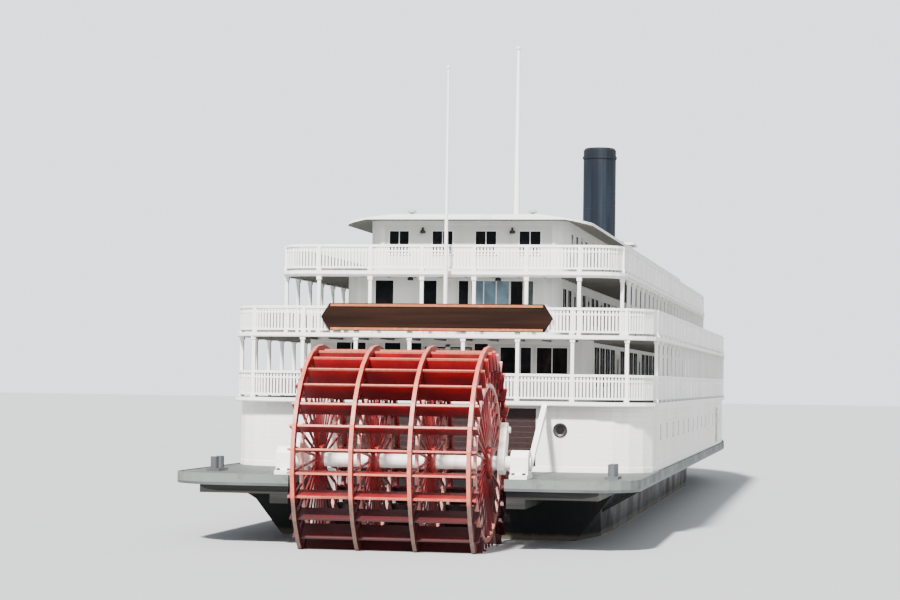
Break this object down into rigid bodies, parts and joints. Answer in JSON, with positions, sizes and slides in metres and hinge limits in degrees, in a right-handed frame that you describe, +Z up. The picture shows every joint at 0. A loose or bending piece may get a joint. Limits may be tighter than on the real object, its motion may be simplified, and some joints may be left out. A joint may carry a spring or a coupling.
{
  "type": "sternwheel paddle boat, 1:10 scale model",
  "caption": "Flat-bottomed river boat with wide guards, four decks of houses and rails, a tall stack, turning rudders and doors, and a red paddle wheel that spins at the stern.",
  "frame": {"origin": "amidships on the flat of the hull's bottom, at the centre of the bottom of the bounding box", "axes": "+X towards the bow, +Y to port, +Z up"},
  "size_m": [8.69, 1.768, 2.475],
  "materials": {
    "hull_paint": "worn black paint on steel plate",
    "guard_paint": "weathered pale grey deck paint",
    "deck_paint": "grey-painted deck planking",
    "white_paint": "warm white paint, satin, a little weathered",
    "door_paint": "cream paint, satin",
    "wheel_red": "bright red paint on planks, worn at the edges",
    "shaft_paint": "white paint on forged steel",
    "stack_paint": "satin blue-black paint on sheet steel",
    "sign_wood": "dark brown stained board",
    "iron": "black-painted castings"
  },
  "bodies": {
    "root": {"hull": "hull_paint", "main_deck": "guard_paint", "stern_beam": "guard_paint", "wing_timbers_port": "hull_paint", "wing_timbers_starboard": "hull_paint", "pillow_block_port": "white_paint", "pillow_block_starboard": "white_paint", "wheel_strut_port": "white_paint", "wheel_strut_starboard": "white_paint", "saloon_deck": "deck_paint", "cabin_deck": "deck_paint", "upper_deck": "deck_paint", "main_house": "white_paint", "boarding_wall_port": "white_paint", "boarding_wall_starboard": "white_paint", "saloon_house": "white_paint", "saloon_stern_wall": "white_paint", "cabin_house": "white_paint", "upper_house": "white_paint", "saloon_rail_port": "white_paint", "saloon_rail_starboard": "white_paint", "cabin_rail_port": "white_paint", "cabin_rail_starboard": "white_paint", "upper_rail_port": "white_paint", "upper_rail_starboard": "white_paint", "upper_posts_port": "white_paint", "upper_posts_starboard": "white_paint", "roof": "white_paint", "pilothouse": "white_paint", "pilothouse_roof": "white_paint", "stack_casing": "white_paint", "stack": "stack_paint", "mast": "white_paint", "flagstaff": "white_paint", "jackstaff": "white_paint", "sign_board": "sign_wood", "bow_bulwark": "white_paint", "capstan": "iron", "bitts_fore_port": "iron", "bitts_fore_starboard": "iron", "bitts_aft_port": "iron", "bitts_aft_starboard": "iron"},
    "paddle_wheel": {"wheel_shaft": "shaft_paint", "wheel_buckets": "wheel_red", "wheel_frame_1": "wheel_red", "wheel_frame_2": "wheel_red", "wheel_frame_3": "wheel_red", "wheel_frame_4": "wheel_red"},
    "middle_rudder": {"rudder_middle": "hull_paint"},
    "port_rudder": {"rudder_port": "hull_paint"},
    "starboard_rudder": {"rudder_starboard": "hull_paint"},
    "port_boarding_door": {"boarding_door_port": "door_paint"},
    "starboard_boarding_door": {"boarding_door_starboard": "door_paint"},
    "port_saloon_door": {"saloon_door_port": "door_paint"},
    "starboard_saloon_door": {"saloon_door_starboard": "door_paint"}
  },
  "joints": [
    {"name": "wheel_spin", "type": "hinge", "parent": "root", "child": "paddle_wheel", "pos_m": [-3.91315, 0, 0.4915], "axis": [0, 1, 0], "continuous": true},
    {"name": "rudder_turn", "type": "hinge", "parent": "root", "child": "middle_rudder", "pos_m": [-3.21, 0, 0.07], "axis": [0, 0, 1], "range_deg": [-35, 35]},
    {"name": "rudder_port_turn", "type": "hinge", "parent": "root", "child": "port_rudder", "pos_m": [-3.21, 0.32, 0.07], "axis": [0, 0, 1], "range_deg": [-35, 35]},
    {"name": "rudder_starboard_turn", "type": "hinge", "parent": "root", "child": "starboard_rudder", "pos_m": [-3.21, -0.32, 0.07], "axis": [0, 0, 1], "range_deg": [-35, 35]},
    {"name": "boarding_door_port_swing", "type": "hinge", "parent": "root", "child": "port_boarding_door", "pos_m": [1.1, 0.8753, 0.55], "axis": [0, 0, 1], "range_deg": [0, 110]},
    {"name": "boarding_door_starboard_swing", "type": "hinge", "parent": "root", "child": "starboard_boarding_door", "pos_m": [1.1, -0.8753, 0.55], "axis": [0, 0, -1], "range_deg": [0, 110]},
    {"name": "saloon_door_port_swing", "type": "hinge", "parent": "root", "child": "port_saloon_door", "pos_m": [-3.0053, 0.1, 0.83], "axis": [0, 0, -1], "range_deg": [0, 110]},
    {"name": "saloon_door_starboard_swing", "type": "hinge", "parent": "root", "child": "starboard_saloon_door", "pos_m": [-3.0053, -0.1, 0.83], "axis": [0, 0, 1], "range_deg": [0, 110]}
  ],
  "couplings": [
    {"joint": "rudder_port_turn", "follows": "rudder_turn", "ratio": 1},
    {"joint": "rudder_starboard_turn", "follows": "rudder_turn", "ratio": 1}
  ]
}
